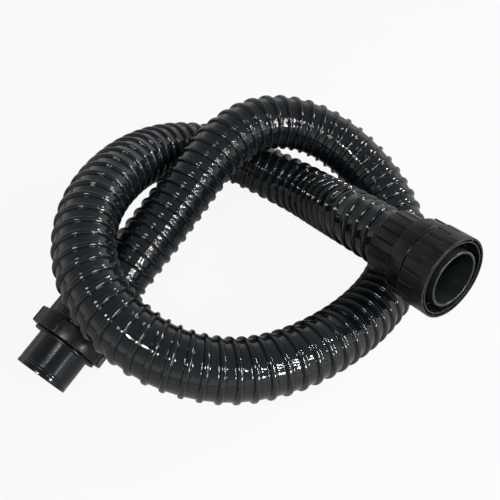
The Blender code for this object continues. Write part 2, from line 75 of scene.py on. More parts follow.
LUG_ANGLE = 30.0
SPIGOT_LUG_TURN = -4.3
COUPLING_LUG_TURN = -15.5
SPIGOT_D = 48.3
SPIGOT_BORE_D = 43.0
SPIGOT_GROOVES = (48.0, 50.3)
SPIGOT_GROOVE_WIDTH = 1.2
SPIGOT_GROOVE_DEPTH = 0.5
FLANGE_START = 21.2
FLANGE_FRONT = 24.2
FLANGE_D = 60.6
NOSE = 54.7
INNER_TUBE_D = 50.6
INNER_TUBE_BORE_D = 45.8
TUBE_TIP = 49.5
SLEEVE_START = 22.0
SLEEVE_RIM = 48.1
SLEEVE_D = 73.4
SLEEVE_TURN = 6.4
SLEEVE_WALL = 1.8
SLEEVE_SLOT = 1.5
SLEEVE_INNER_WALL = 1.4
SLEEVE_STEP = 1.4
SLEEVE_STEP_DEPTH = 14.0
SLEEVE_FLOOR = 3.0
SLEEVE_INNER_SET_BACK = 0.5
FLUTE_COUNT = 20
FLUTE_WIDTH = 2.0
FLUTE_DEPTH = 0.6
SLOT_DEPTH = 9.0
SLOT_WEB_COUNT = 8
SLOT_WEB_START = 1.9
SLOT_WEB_ANGLE = 4.0
SLOT_WEB_SET_BACK = 0.9
SNAP_START = 25.3
SNAP_RING_THICKNESS = 1.4
SNAP_GROOVE_DEPTH = 0.9

# ---------------------------------------------------------------- what the fine pieces add, in mm
RIB_HALF = 0.18  # half the rib's width, as a share of the pitch
FOOT_HALF = 0.025  # half the width of the groove at its foot, as a share of the pitch
FOOT_DEPTH = 0.22
WEB_SAG = 0.14
BORE_WAVE = 0.18  # how far the rib shows inside
CUFF_BORE_EXTRA = 0.1  # room round the hose besides the gap
PANEL_GROOVE_WIDER = 1.2  # times the solid cuff's
PANEL_GROOVE_DIP = 0.35  # below the barrel
LUG_FLANK = 0.8
FLUTE_WIDER = 1.35  # times the solid sleeve's
FLUTE_DEEPER = 1.2
# Distance from the sleeve's back edge, and the share of its depth that a flute has there
FLUTE_COURSE = [(1.2, 0.0), (1.9, 1.0), (13.2, 1.0), (15.0, 0.75), (16.6, 0.3), (18.2, 0.0)]
SLEEVE_START_BACK = 0.5  # widens the gap between collar and sleeve
CORNER = 0.25  # radius of each corner that states no other
CORNER_LIMIT = 0.45  # most of a side that a corner's radius may take
WEB_MARGIN = 0.001  # radians by which a web in the slot takes in its last points
TINY = 1e-6

# ---------------------------------------------------------------- how finely things are cut up
ROUTE_SAMPLES = 2400
HOSE_SAMPLES = 6000
HOSE_SIDES = 72
BORE_RINGS_PER_PITCH = 5
RING_SIDES = 288
PANEL_SIDES = 480
SLEEVE_SIDES = 720

# ---------------------------------------------------------------- route of the hose, in metres
FOOTPRINT_MIDDLE = np.array([0.0017, -0.0006, -0.0003])
COUPLING_END = np.array([0.0617, 0.1352, 0.0912]) - FOOTPRINT_MIDDLE
COUPLING_AZIMUTH = 0.0
COUPLING_ELEVATION = 14.0
SPIGOT_END = np.array([-0.0795, -0.1136, 0.0392]) - FOOTPRINT_MIDDLE
SPIGOT_AZIMUTH = -73.4
SPIGOT_ELEVATION = -14.1
ROUTE = [
    (-0.061, 0.148, 0.042),
    (-0.095, 0.149, 0.031),
    (-0.123, 0.143, 0.028),
    (-0.174, 0.113, 0.040),
    (-0.192, 0.071, 0.059),
    (-0.182, 0.018, 0.083),
    (-0.161, -0.020, 0.099),
    (-0.130, -0.061, 0.108),
    (-0.086, -0.092, 0.105),
    (-0.017, -0.097, 0.092),
    (0.022, -0.078, 0.080),
    (0.052, -0.041, 0.066),
    (0.069, 0.022, 0.053),
    (0.069, 0.052, 0.046),
    (0.060, 0.105, 0.032),
    (0.051, 0.134, 0.028),
    (0.023, 0.178, 0.031),
    (-0.044, 0.206, 0.047),
    (-0.104, 0.195, 0.068),
    (-0.132, 0.170, 0.081),
    (-0.146, 0.136, 0.089),
    (-0.146, 0.104, 0.090),
    (-0.130, 0.043, 0.078),
    (-0.112, -0.010, 0.064),
]

# ---------------------------------------------------------------- studio
FLOOR_WHITE = 0.91  # share of plain white in what the camera sees of the floor
FLOOR_MIRRORED = 0.06  # and in what the object mirrors of it
WORLD_LIGHT = 0.19  # strength of the even light on the object
FLOOR_COLOUR = (0.43, 0.425, 0.41)
FLOOR_HALF = 6.0
FLOOR_DROP = 0.0002  # under the part's feet
POWER_PER_AREA = 4.0  # watts a square metre of a pane, for a brightness of 1
# Height over the horizon, and the colour seen or mirrored there
SKY = [
    (0.0, (1.0, 1.0, 1.0)),
    (0.24, (1.0, 1.0, 1.0)),
    (0.45, (0.50, 0.51, 0.52)),
    (0.9, (0.27, 0.28, 0.29)),
]
# Azimuth, elevation and distance; columns and rows; a pane's size, the bars between; brightness
WINDOWS = {
    "window_tall": (24.0, 37.0, 1.7, 3, 3, (0.09, 0.042), (0.07, 0.18), 120.0),
    "window_high": (-62.0, 60.0, 1.7, 2, 1, (0.16, 0.10), (0.08, 0.0), 100.0),
    "window_low": (10.0, 20.0, 1.8, 3, 2, (0.11, 0.06), (0.02, 0.04), 75.0),
    "window_side": (70.0, 32.0, 1.8, 3, 2, (0.08, 0.04), (0.05, 0.12), 240.0),
}

# ---------------------------------------------------------------- camera
CAMERA_PLACE = Vector((0.2704, -0.1980, 0.5598))
CAMERA_AIM = Vector((-0.0818, 0.0742, 0.0003))
CAMERA_LENS = 50.4
CAMERA_SENSOR = 36.0
CAMERA_CLIP = 0.01


def direction(azimuth, elevation):
    a = math.radians(azimuth)
    e = math.radians(elevation)
    return np.array([math.cos(e) * math.cos(a), math.cos(e) * math.sin(a), math.sin(e)])


def smooth_route(points, start_dir, end_dir, samples):
    """A curve of continuous curvature through the points, with both end directions given."""
    steps = np.linalg.norm(np.diff(points, axis=0), axis=1)
    knots = np.concatenate([[0.0], np.cumsum(steps)])
    count = len(points)
    system = np.zeros((count, count))
    right = np.zeros((count, 3))
    system[0, 0] = 1.0
    system[-1, -1] = 1.0
    right[0] = start_dir
    right[-1] = end_dir
    for k in range(1, count - 1):
        before = steps[k - 1]
        after = steps[k]
        system[k, k - 1] = after
        system[k, k] = 2 * (before + after)
        system[k, k + 1] = before
        rise = after * (points[k] - points[k - 1]) / before
        right[k] = 3 * (rise + before * (points[k + 1] - points[k]) / after)
    slopes = np.linalg.solve(system, right)
    where = np.linspace(0.0, knots[-1], samples)
    cell = np.clip(np.searchsorted(knots, where, side="right") - 1, 0, count - 2)
    h = steps[cell][:, None]
    x = (where - knots[cell])[:, None] / h
    return (
        (2 * x**3 - 3 * x**2 + 1) * points[cell]
        + (x**3 - 2 * x**2 + x) * h * slopes[cell]
        + (3 * x**2 - 2 * x**3) * points[cell + 1]
        + (x**3 - x**2) * h * slopes[cell + 1]
    )


def hose_centreline():
    out_first = direction(COUPLING_AZIMUTH, COUPLING_ELEVATION)
    out_last = direction(SPIGOT_AZIMUTH, SPIGOT_ELEVATION)
    start = COUPLING_END - HOSE_STRAIGHT * MM * out_first
    end = SPIGOT_END - HOSE_STRAIGHT * MM * out_last
    through = np.vstack([start, np.array(ROUTE) - FOOTPRINT_MIDDLE, end])
    bent = smooth_route(through, -out_first, out_last, ROUTE_SAMPLES)
    line = np.vstack([COUPLING_END, bent, SPIGOT_END])
    along = np.concatenate([[0.0], np.cumsum(np.linalg.norm(np.diff(line, axis=0), axis=1))])
    return line, along


def at_distance(line, along, distances):
    return np.array([np.interp(distances, along, line[:, k]) for k in range(3)]).T


def tube_frames(points):
    """Two normals at each point, carried along without twist."""
    tangent = np.gradient(points, axis=0)
    tangent /= np.linalg.norm(tangent, axis=1)[:, None]
    side = np.zeros_like(points)
    first = np.cross(tangent[0], [0.0, 0.0, 1.0])
    side[0] = first / np.linalg.norm(first)
    for k in range(1, len(points)):
        moved = side[k - 1] - tangent[k] * np.dot(side[k - 1], tangent[k])
        side[k] = moved / np.linalg.norm(moved)
    return side, np.cross(tangent, side)


# ---------------------------------------------------------------- meshes
def grid_mesh(name, grid):
    """Quads over a grid of points, closed round each row and from the last row to the first."""
    rows, count, _ = grid.shape
    mesh = bpy.data.meshes.new(name)
    k = np.arange(count)
    n = (k + 1) % count
    faces = []
    for r in range(rows):
        a = r * count
        b = ((r + 1) % rows) * count
        faces.append(np.stack([a + k, a + n, b + n, b + k], axis=1))
    faces = np.concatenate(faces)
    mesh.from_pydata(grid.reshape(-1, 3).tolist(), [], faces.tolist())
    mesh.update()
    return mesh


def outward(mesh):
    """Turns all faces round if the closed mesh encloses a negative volume."""
    mesh.calc_loop_triangles()
    points = np.empty(len(mesh.vertices) * 3)
    mesh.vertices.foreach_get("co", points)
    points = points.reshape(-1, 3)
    corners = np.empty(len(mesh.loop_triangles) * 3, np.int32)
    mesh.loop_triangles.foreach_get("vertices", corners)
    volume = np.linalg.det(points[corners.reshape(-1, 3)]).sum()
    if volume < 0:
        mesh.flip_normals()
    return mesh


def add_piece(name, mesh, look, body, nodes, smooth_angle=35.0):
    mesh.materials.append(look)
    mesh.shade_smooth()
    if smooth_angle < 180.0:
        mesh.set_sharp_from_angle(angle=math.radians(smooth_angle))
    made = bpy.data.objects.new(name, mesh)
    bpy.context.scene.collection.objects.link(made)
    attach(made, body)
    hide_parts(*nodes)
    return made


def fitting_matrix(place, azimuth, elevation):
    """As the solids' empties: +Z along the fitting, in metres."""
    axis = Vector(direction(azimuth, elevation))
    sideways = Vector((0, 0, 1)).cross(axis).normalized()
    up = axis.cross(sideways)
    turn = Matrix((up, sideways * -1, axis)).transposed()
    return Matrix.Translation(Vector(place)) @ turn.to_4x4()


def rounded(profile, steps):
    """The closed profile with its corners eased. A point is (r, h), with its own radius and its
    shares of the ring's two patterns after them where it has any."""
    full = [p + (CORNER, 0.0, 0.0)[len(p) - 2 :] for p in profile]
    made = []
    count = len(full)
    for k in range(count):
        here = np.array(full[k][:2])
        ease, share, lift = full[k][2:]
        d0 = np.array(full[k - 1][:2]) - here
        d1 = np.array(full[(k + 1) % count][:2]) - here
        l0 = np.linalg.norm(d0)
        l1 = np.linalg.norm(d1)
        if ease <= 0 or l0 < TINY or l1 < TINY:
            made.append((here[0], here[1], share, lift))
            continue
        cut = min(ease, CORNER_LIMIT * l0, CORNER_LIMIT * l1)
        p0 = here + d0 / l0 * cut
        p1 = here + d1 / l1 * cut
        for s in range(steps + 1):
            t = s / steps
            q = (1 - t) ** 2 * p0 + 2 * t * (1 - t) * here + t**2 * p1
            made.append((q[0], q[1], share, lift))
    return made


def fine_ring(name, profile, matrix, pattern=None, raised=None, sides=RING_SIDES, steps=3):
    """Turns a profile about the fitting's axis. pattern(angle) is added to the radius and
    raised(angle) to the height, each times the point's share of it."""
    points = rounded(profile, steps)
    angles = np.linspace(0, 2 * math.pi, sides, endpoint=False)
    outward_by = np.zeros(sides) if pattern is None else pattern(angles)
    upward_by = np.zeros(sides) if raised is None else raised(angles)
    grid = np.zeros((len(points), sides, 3))
    for row, (r, h, share, lift) in enumerate(points):
        radii = r + share * outward_by
        grid[row, :, 0] = radii * np.cos(angles)
        grid[row, :, 1] = radii * np.sin(angles)
        grid[row, :, 2] = h + lift * upward_by
    grid *= MM
    mesh = grid_mesh(name, grid)
    mesh.transform(matrix)
    return outward(mesh)


def smoothstep(edge0, edge1, x):
    t = np.clip((x - edge0) / (edge1 - edge0), 0.0, 1.0)
    return t * t * (3 - 2 * t)


# ---------------------------------------------------------------- patterns round the fittings
def panel_pattern(angles):
    """Flat grip panels with a narrow rounded groove after each, wider than on the solid cuff."""
    period = 2 * math.pi / PANEL_COUNT
    radius = BARREL_D / 2
    half = (period - PANEL_GROOVE_WIDER * PANEL_GROOVE / radius) / 2
    local = np.mod(angles + period / 2, period) - period / 2
    corner = radius + PANEL_HEIGHT
    flat = corner * math.cos(half) / np.cos(np.clip(local, -half, half)) - radius
    into = smoothstep(half, period / 2, np.abs(local))
    return flat * (1 - into) - PANEL_GROOVE_DIP * into


def lug_pattern(turn):
    """Low wide lugs; 0 on a lug, minus the lug's height between them."""
    period = 2 * math.pi / LUG_COUNT
    half = math.radians(LUG_ANGLE) / 2
    ease = LUG_FLANK / (COLLAR_D / 2)

    def pattern(angles):
        local = np.mod(angles - math.radians(turn) - half + period / 2, period) - period / 2
        return -LUG_HEIGHT * smoothstep(half - ease / 2, half + ease / 2, np.abs(local))

    return pattern


def flute_pattern(angles):
    """Narrow shallow flutes round the sleeve, wider and deeper than on the solid."""
    period = 2 * math.pi / FLUTE_COUNT
    half = FLUTE_WIDER * FLUTE_WIDTH / SLEEVE_D
    local = np.mod(angles - math.radians(SLEEVE_TURN) + period / 2, period) - period / 2
    return -FLUTE_DEEPER * FLUTE_DEPTH * (1 - smoothstep(0.0, half, np.abs(local)))


def slot_webs(angles):
    """Height of the small webs that cross the slot in the sleeve's rim."""
    period = 2 * math.pi / SLOT_WEB_COUNT
    half = math.radians(SLOT_WEB_ANGLE) / 2
    middle = math.radians(SLOT_WEB_START) + half
    local = np.mod(angles - middle + period / 2, period) - period / 2
    return (SLOT_DEPTH - SLOT_WEB_SET_BACK) * (np.abs(local) <= half + WEB_MARGIN)


# ---------------------------------------------------------------- materials
def new_material(name):
    made = bpy.data.materials.new(name)
    made.use_nodes = True
    nodes = made.node_tree.nodes
    links = made.node_tree.links
    return made, nodes, links, nodes["Principled BSDF"]


def noise(nodes, links, coords, scale, detail=3.0, rough=0.5, stretch=None):
    made = nodes.new("ShaderNodeTexNoise")
    made.inputs["Scale"].default_value = scale
    made.inputs["Detail"].default_value = detail
    made.inputs["Roughness"].default_value = rough
    source = coords
    if stretch is not None:
        mapping = nodes.new("ShaderNodeMapping")
        mapping.inputs["Scale"].default_value = stretch
        links.new(coords, mapping.inputs["Vector"])
        source = mapping.outputs["Vector"]
    links.new(source, made.inputs["Vector"])
    return made.outputs["Fac"]


def ramp(nodes, links, value, stops):
    made = nodes.new("ShaderNodeValToRGB")
    bar = made.color_ramp
    while len(bar.elements) < len(stops):
        bar.elements.new(0.5)
    for element, (place, colour) in zip(bar.elements, stops):
        element.position = place
        element.color = (*colour, 1.0)
    links.new(value, made.inputs["Fac"])
    return made.outputs["Color"]


def remap(nodes, links, value, taken, given):
    made = nodes.new("ShaderNodeMapRange")
    made.inputs["From Min"].default_value = taken[0]
    made.inputs["From Max"].default_value = taken[1]
    made.inputs["To Min"].default_value = given[0]
    made.inputs["To Max"].default_value = given[1]
    links.new(value, made.inputs["Value"])
    return made.outputs["Result"]


def bump(nodes, links, height, strength, distance, normal=None):
    made = nodes.new("ShaderNodeBump")
    made.inputs["Strength"].default_value = strength
    made.inputs["Distance"].default_value = distance
    links.new(height, made.inputs["Height"])
    if normal is not None:
        links.new(normal, made.inputs["Normal"])
    return made.outputs["Normal"]


def moulded(name, colours, roughness, tint, turn, gloss, grain=1400.0, grain_depth=0.00002):
    """Moulded black plastic: streaks along the fitting, uneven gloss, fine grain and handling marks."""
    made, nodes, links, shader = new_material(name)
    coords = nodes.new("ShaderNodeTexCoord").outputs["Object"]
    azimuth, elevation = turn
    dark, pale = colours
    along = nodes.new("ShaderNodeMapping")
    along.vector_type = "TEXTURE"
    along.inputs["Rotation"].default_value = (0.0, -math.radians(elevation), math.radians(azimuth))
    along.inputs["Scale"].default_value = (STREAK_STRETCH, 1.0, 1.0)
    links.new(coords, along.inputs["Vector"])
    streaks = noise(nodes, links, along.outputs["Vector"], scale=170.0, detail=4.0, rough=0.6)
    links.new(ramp(nodes, links, streaks, [(0.40, dark), (0.62, pale)]), shader.inputs["Base Color"])
    patches = noise(nodes, links, coords, scale=95.0, detail=5.0, rough=0.6)
    links.new(remap(nodes, links, patches, (0.3, 0.7), roughness), shader.inputs["Roughness"])
    fine = noise(nodes, links, coords, scale=grain, detail=2.0, rough=0.5)
    marks = noise(nodes, links, along.outputs["Vector"], scale=420.0, detail=4.0, rough=0.6)
    first = bump(nodes, links, fine, strength=0.25, distance=grain_depth)
    second = bump(nodes, links, marks, strength=0.12, distance=0.00006, normal=first)
    links.new(second, shader.inputs["Normal"])
    shader.inputs["IOR"].default_value = gloss
    shader.inputs["Specular Tint"].default_value = (*tint, 1.0)
    return made


def vinyl(name):
    """Glossy black vinyl with a faint cool tint, soft waviness and uneven gloss."""
    made, nodes, links, shader = new_material(name)
    coords = nodes.new("ShaderNodeTexCoord").outputs["Object"]
    broad = noise(nodes, links, coords, scale=24.0, detail=4.0, rough=0.55)
    links.new(
        ramp(nodes, links, broad, [(0.3, (0.002, 0.0035, 0.0045)), (0.75, (0.0045, 0.007, 0.009))]),
        shader.inputs["Base Color"],
    )
    patches = noise(nodes, links, coords, scale=130.0, detail=5.0, rough=0.6)
    links.new(remap(nodes, links, patches, (0.3, 0.75), (0.04, 0.10)), shader.inputs["Roughness"])
    wave = noise(nodes, links, coords, scale=110.0, detail=3.0, rough=0.5)
    fine = noise(nodes, links, coords, scale=900.0, detail=2.0, rough=0.5)
    first = bump(nodes, links, wave, strength=0.34, distance=0.0006)
    second = bump(nodes, links, fine, strength=0.10, distance=0.00003, normal=first)
    links.new(second, shader.inputs["Normal"])
    shader.inputs["IOR"].default_value = 1.5
    return made


def rubber(name):
    made, nodes, links, shader = new_material(name)
    coords = nodes.new("ShaderNodeTexCoord").outputs["Object"]
    broad = noise(nodes, links, coords, scale=70.0, detail=4.0, rough=0.6)
    links.new(
        ramp(nodes, links, broad, [(0.3, (0.009, 0.009, 0.009)), (0.7, (0.018, 0.018, 0.018))]),
        shader.inputs["Base Color"],
    )
    links.new(remap(nodes, links, broad, (0.3, 0.7), (0.62, 0.82)), shader.inputs["Roughness"])
    fine = noise(nodes, links, coords, scale=1200.0, detail=2.0, rough=0.5)
    links.new(bump(nodes, links, fine, strength=0.4, distance=0.00004), shader.inputs["Normal"])
    return made


def pale_plastic(name):
    made, nodes, links, shader = new_material(name)
    coords = nodes.new("ShaderNodeTexCoord").outputs["Object"]
    broad = noise(nodes, links, coords, scale=80.0, detail=3.0, rough=0.5)
    links.new(
        ramp(nodes, links, broad, [(0.3, (0.50, 0.49, 0.45)), (0.7, (0.58, 0.57, 0.53))]),
        shader.inputs["Base Color"],
    )
    links.new(remap(nodes, links, broad, (0.3, 0.7), (0.4, 0.55)), shader.inputs["Roughness"])
    fine = noise(nodes, links, coords, scale=1500.0, detail=2.0, rough=0.5)
    links.new(bump(nodes, links, fine, strength=0.2, distance=0.00002), shader.inputs["Normal"])
    return made


def spring_steel(name):
    made, nodes, links, shader = new_material(name)
    coords = nodes.new("ShaderNodeTexCoord").outputs["Object"]
    brushed = noise(nodes, links, coords, scale=300.0, detail=4.0, rough=0.6, stretch=(1.0, 1.0, 14.0))
    links.new(
        ramp(nodes, links, brushed, [(0.3, (0.42, 0.42, 0.43)), (0.7, (0.58, 0.58, 0.58))]),
        shader.inputs["Base Color"],
    )
    links.new(remap(nodes, links, brushed, (0.3, 0.7), (0.24, 0.38)), shader.inputs["Roughness"])
    links.new(bump(nodes, links, brushed, strength=0.15, distance=0.00002), shader.inputs["Normal"])
    shader.inputs["Metallic"].default_value = 1.0
    return made


STREAK_STRETCH = 9.0  # how much longer than wide the streaks are
# Dark and pale of a plastic's streaks, and its lowest and highest roughness
BROWNISH = ((0.0004, 0.0003, 0.0003), (0.0115, 0.0094, 0.0080))
TUBE_BLACK = ((0.0018, 0.0024, 0.0032), (0.0042, 0.0052, 0.0064))
BORE_BLACK = ((0.008, 0.011, 0.0105), (0.013, 0.0175, 0.0165))
CUFF_ROUGH = (0.26, 0.40)
COLLAR_ROUGH = (0.24, 0.36)
SLEEVE_ROUGH = (0.28, 0.42)
TUBE_ROUGH = (0.10, 0.16)
BORE_ROUGH = (0.20, 0.32)
# Tint of the mirrored light, index of refraction, and the grain's scale and depth
WARM = (1.0, 0.96, 0.93)
COOL = (0.88, 0.96, 1.0)
SATIN = 1.38
SHINY = 1.45
FINE_GRAIN = (900.0, 0.00001)
COUPLING_TURN = (COUPLING_AZIMUTH, COUPLING_ELEVATION)
SPIGOT_TURN = (SPIGOT_AZIMUTH, SPIGOT_ELEVATION)
LOOKS = {
    "hose": vinyl("hose_vinyl"),
    "coupling_cuff": moulded(
        "coupling_cuff_moulded", BROWNISH, CUFF_ROUGH, WARM, COUPLING_TURN, SATIN
    ),
    "spigot_cuff": moulded("spigot_cuff_moulded", BROWNISH, CUFF_ROUGH, WARM, SPIGOT_TURN, SATIN),
    "coupling_collar": moulded(
        "coupling_collar_moulded", BROWNISH, COLLAR_ROUGH, WARM, COUPLING_TURN, SATIN
    ),
    "spigot_collar": moulded(
        "spigot_collar_moulded", BROWNISH, COLLAR_ROUGH, WARM, SPIGOT_TURN, SATIN
    ),
    "tube": moulded(
        "tube_moulded", TUBE_BLACK, TUBE_ROUGH, COOL, SPIGOT_TURN, SHINY, *FINE_GRAIN
    ),
    "bore": moulded(
        "bore_moulded", BORE_BLACK, BORE_ROUGH, COOL, COUPLING_TURN, SHINY, *FINE_GRAIN
    ),
    "sleeve": moulded("sleeve_moulded", BROWNISH, SLEEVE_ROUGH, WARM, COUPLING_TURN, SATIN),
    "seal": rubber("seal_rubber"),
    "slip": pale_plastic("slip_ring_plastic"),
    "steel": spring_steel("snap_ring_steel"),
}


# ---------------------------------------------------------------- hose
def rib_height(u):
    """Height over the web, in mm, at a share u of the pitch from the rib's middle, -0.5 to 0.5.
    A fine groove runs along each foot of the rib, and the web between two ribs sags a little."""
    away = np.abs(u)
    crown = (1 - np.clip(away / RIB_HALF, 0.0, 1.0) ** 3.0) ** 0.5
    foot = np.clip(1 - ((away - RIB_HALF - FOOT_HALF) / FOOT_HALF) ** 2, 0.0, 1.0)
    web_half = 0.5 - RIB_HALF - 2 * FOOT_HALF
    sag = np.clip(1 - ((0.5 - away) / web_half) ** 2, 0.0, 1.0)
    return (HOSE_D - HOSE_ROOT_D) / 2 * crown - FOOT_DEPTH * foot - WEB_SAG * sag


def rib_samples():
    """Shares of the pitch at which the outside is sampled, close together where it bends."""
    rib = RIB_HALF * np.array([0.0, 0.3, 0.56, 0.76, 0.9, 0.98, 1.0])
    foot = RIB_HALF + FOOT_HALF * np.array([0.5, 1.0, 1.5, 2.0])
    web = np.linspace(foot[-1], 0.5, 4)[1:]
    half = np.concatenate([rib, foot, web])
    return np.concatenate([half, (1 - half[-2:0:-1])])


def build_hose():
    line, along = hose_centreline()
    length = along[-1]
    turns = round(length / (RIB_PITCH * MM))
    around = HOSE_SIDES
    dense = np.linspace(0.0, length, HOSE_SAMPLES)
    points = at_distance(line, along, dense)
    side, up = tube_frames(points)

    def surface(stations, angles, radii):
        """Places on the tube, for arrays of stations, angles and radii of one shape."""
        made = []
        for k in range(3):
            middle = np.interp(stations, dense, points[:, k])
            across = np.interp(stations, dense, side[:, k])
            upward = np.interp(stations, dense, up[:, k])
            reach = np.cos(angles) * across + np.sin(angles) * upward
            made.append(middle + radii * MM * reach)
        return np.stack(made, axis=-1)

    # Outside: rows follow the rib round, so each starts one pitch later after a turn.
    samples = rib_samples()
    per_turn = len(samples)
    phases = (np.arange(-1, turns)[:, None] + samples[None, :]).ravel()
    phases = np.append(phases, turns)
    angles = np.linspace(0, 2 * math.pi, around, endpoint=False)[None, :]
    stations = (phases[:, None] + angles / (2 * math.pi)) * length / turns
    stations = np.clip(stations, 0.0, length)
    phase = stations / length * turns - angles / (2 * math.pi)
    u = np.mod(phase + 0.5, 1.0) - 0.5
    angles = np.broadcast_to(angles, stations.shape)
    outer = surface(stations, angles, HOSE_ROOT_D / 2 + rib_height(u))
    rows = len(phases)

    # Inside: plain rings, back from the far end.
    inner_stations = np.linspace(length, 0.0, turns * BORE_RINGS_PER_PITCH + 1)[:, None]
    inner_angles = np.broadcast_to(angles[:1], (len(inner_stations), around))
    wave = BORE_WAVE * np.cos(2 * math.pi * inner_stations / length * turns - inner_angles)
    inner_stations = np.broadcast_to(inner_stations, inner_angles.shape)
    inner = surface(inner_stations, inner_angles, HOSE_BORE_D / 2 + wave)

    grid = np.concatenate([outer, inner])
    total = len(grid)
    quads = []
    for r in range(total):
        after = (r + 1) % total
        for k in range(around - 1):
            a = r * around + k
            b = after * around + k
            quads.append((a, a + 1, b + 1, b))
        # Across the seam the outside's rows join one turn on.
        here, there = r, after
        if r < rows:
            here = min(r + per_turn, rows - 1)
            there = min(r + 1 + per_turn, rows - 1) if r < rows - 1 else after
        last = around - 1
        quads.append((r * around + last, here * around, there * around, after * around + last))
    mesh = bpy.data.meshes.new("hose_spiral")
    mesh.from_pydata(grid.reshape(-1, 3).tolist(), [], quads)
    shape = bmesh.new()
    shape.from_mesh(mesh)
    bmesh.ops.remove_doubles(shape, verts=shape.verts, dist=1e-6)
    bmesh.ops.dissolve_degenerate(shape, edges=shape.edges, dist=1e-7)
    # Merging leaves a few edges open, which are closed here.
    edge_of_gap = [edge for edge in shape.edges if edge.is_boundary]
    bmesh.ops.holes_fill(shape, edges=edge_of_gap, sides=8)
    bmesh.ops.recalc_face_normals(shape, faces=shape.faces)
    shape.to_mesh(mesh)
    shape.free()
    outward(mesh)
    hose = add_piece("hose_spiral", mesh, LOOKS["hose"], "hose_body", ["hose"], 180.0)


# ---------------------------------------------------------------- fittings
def build_cuff(side, matrix):
    barrel = BARREL_D / 2
    bore = HOSE_D / 2 + GAP + CUFF_BORE_EXTRA
    neck_bore = SPIGOT_BORE_D / 2
    tail = TAIL_D / 2
    tail_bore = tail - TAIL_WALL
    groove_in, groove_out = O_RING_GROOVE_RADII
    groove_floor = NECK_FRONT - O_RING_GROOVE_DEPTH
    profile = [
        (bore + 0.3, BARREL_START, 0.3),
        (barrel, BARREL_START, 0.7, 1.0),
        (barrel, BARREL_FRONT, 0.6, 1.0),
        (NECK_D / 2, BARREL_FRONT),
        (NECK_D / 2, NECK_FRONT),
        (groove_out, NECK_FRONT),
        (groove_out, groove_floor),
        (groove_in, groove_floor),
        (groove_in, NECK_FRONT),
        (neck_bore, NECK_FRONT),
        (neck_bore, BARREL_FRONT),
        (tail_bore, WEB_START),
        (tail_bore, TAIL_END),
        (tail, TAIL_END, 0.5),
        (tail, WEB_START),
        (bore, WEB_START),
        (bore, BARREL_START + 0.8, 0.2),
    ]
    name = side + "_cuff_fine"
    mesh = fine_ring(name, profile, matrix, panel_pattern, sides=PANEL_SIDES)
    add_piece(name, mesh, LOOKS[side + "_cuff"], "hose_body", [side + "_cuff"])


def build_collar(side, matrix, tube_d, turn, body):
    top = COLLAR_D / 2
    thread = NECK_D / 2 + GAP
    lip = tube_d / 2 + GAP
    profile = [
        (thread, COLLAR_START, 0.3),
        (top, COLLAR_START, 0.7, 1.0),
        (top, COLLAR_FRONT, 1.0, 1.0),
        (lip, COLLAR_FRONT, 0.4),
        (lip, LIP_START),
        (thread, LIP_START),
    ]
    name = side + "_collar_fine"
    mesh = fine_ring(name, profile, matrix, lug_pattern(turn), sides=PANEL_SIDES)
    add_piece(name, mesh, LOOKS[side + "_collar"], body, [side + "_collar"])


def build_spigot(matrix):
    tube = SPIGOT_D / 2
    bore = SPIGOT_BORE_D / 2
    half = SPIGOT_GROOVE_WIDTH / 2
    grooves = []
    for middle in SPIGOT_GROOVES:
        grooves += [
            (tube, middle - half, 0.2),
            (tube - SPIGOT_GROOVE_DEPTH, middle, 0.3),
            (tube, middle + half, 0.2),
        ]
    profile = [
        (bore, SHOULDER_START),
        (SHOULDER_D / 2, SHOULDER_START),
        (SHOULDER_D / 2, SHOULDER_FRONT),
        (tube, SHOULDER_FRONT),
        *grooves,
        (tube, NOSE, 0.7),
        (bore, NOSE, 0.5),
    ]
    mesh = fine_ring("spigot_tube_fine", profile, matrix)
    body = "spigot_swivel_tube"
    add_piece("spigot_tube_fine", mesh, LOOKS["tube"], body, ["spigot_tube"])
    profile = [
        (tube + GAP, FLANGE_START),
        (FLANGE_D / 2, FLANGE_START, 1.3),
        (FLANGE_D / 2, FLANGE_FRONT, 1.3),
        (tube + GAP, FLANGE_FRONT),
    ]
    mesh = fine_ring("spigot_flange_fine", profile, matrix, steps=5)
    look = LOOKS["spigot_collar"]
    add_piece("spigot_flange_fine", mesh, look, body, ["spigot_flange"])


def build_coupling_tube(matrix):
    tube = INNER_TUBE_D / 2
    bore = INNER_TUBE_BORE_D / 2
    groove_floor = tube - SNAP_GROOVE_DEPTH
    groove_end = SNAP_START + SNAP_RING_THICKNESS + GAP / 2
    profile = [
        (bore, SHOULDER_START),
        (SHOULDER_D / 2, SHOULDER_START),
        (SHOULDER_D / 2, SHOULDER_FRONT),
        (tube, SHOULDER_FRONT),
        (tube, SNAP_START - GAP),
        (groove_floor, SNAP_START - GAP),
        (groove_floor, groove_end),
        (tube, groove_end),
        (tube, TUBE_TIP, 1.1),
        (bore, TUBE_TIP, 1.1),
    ]
    mesh = fine_ring("coupling_tube_fine", profile, matrix, steps=5)
    body = "coupling_swivel_tube"
    add_piece("coupling_tube_fine", mesh, LOOKS["bore"], body, ["coupling_tube"])


